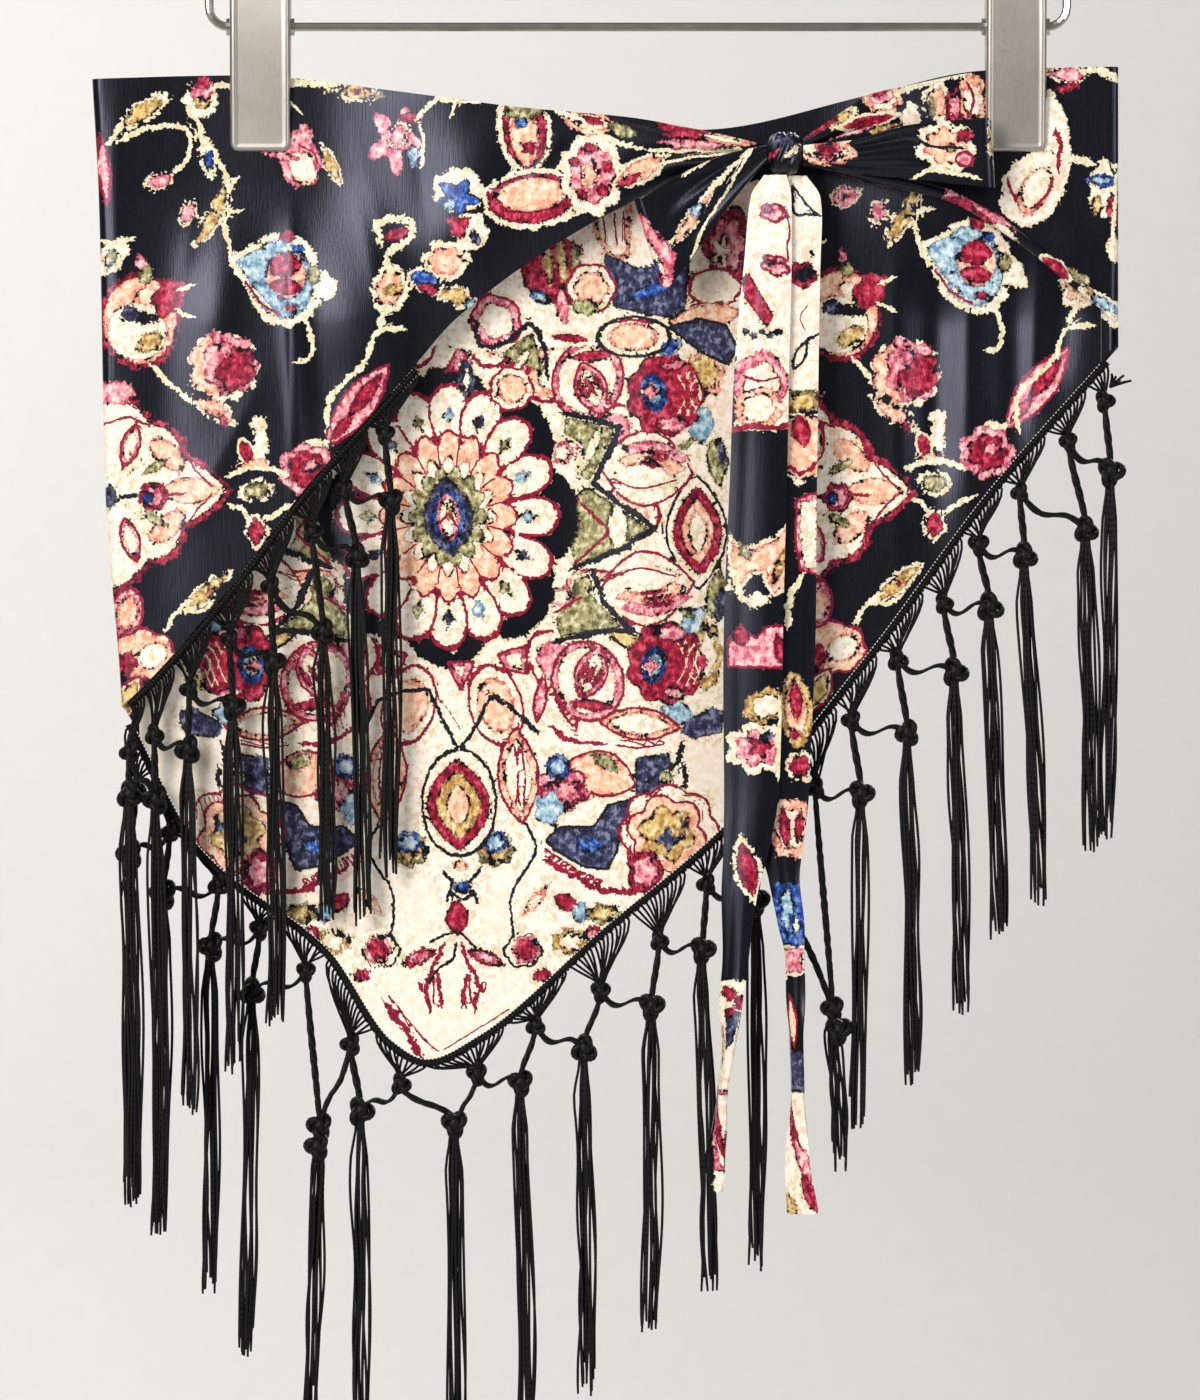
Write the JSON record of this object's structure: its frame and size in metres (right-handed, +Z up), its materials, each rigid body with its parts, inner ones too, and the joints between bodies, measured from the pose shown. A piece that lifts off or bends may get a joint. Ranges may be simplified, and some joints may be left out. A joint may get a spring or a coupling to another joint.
{
  "type": "fringed scarf on a clip hanger",
  "caption": "Triangular satin hip scarf with knotted fringe, wrapped to a flat tube, tied in a bow and hung by its waist edge from a metal clip hanger.",
  "frame": {"origin": "inside top of the hanger's hook, where a rail carries it (mount hook_seat)", "axes": "+X to the right as seen from the front, +Z up, the front with the bow faces -Y"},
  "size_m": [0.411, 0.0317, 0.7445],
  "materials": {
    "satin_medallion": "printed satin, cream carpet medallion on a dark ground, soft sheen",
    "satin_floral": "printed satin, carpet florals on a blue-black ground, soft sheen",
    "rayon_cord": "black rayon cord, knotted, slight silky sheen",
    "hanger_wire": "bright plated steel wire",
    "clip_steel": "satin plated pressed steel with brighter rims"
  },
  "bodies": {
    "root": {"back_panel": "satin_medallion", "left_front_flap": "satin_floral", "right_front_flap": "satin_floral", "tie_knot": "satin_floral", "bow_loop_left": "satin_floral", "bow_loop_right": "satin_floral", "tie_tail_front": "satin_floral", "tie_tail_back": "satin_floral", "fringe_left_flap": "rayon_cord", "fringe_left_hem": "rayon_cord", "fringe_right_hem": "rayon_cord", "hanger_frame": "hanger_wire", "hanger_hook": "hanger_wire", "clip_left_front_jaw": "clip_steel", "clip_left_back_jaw": "clip_steel", "clip_left_barrel": "hanger_wire", "clip_right_front_jaw": "clip_steel", "clip_right_back_jaw": "clip_steel", "clip_right_barrel": "hanger_wire"}
  },
  "joints": []
}
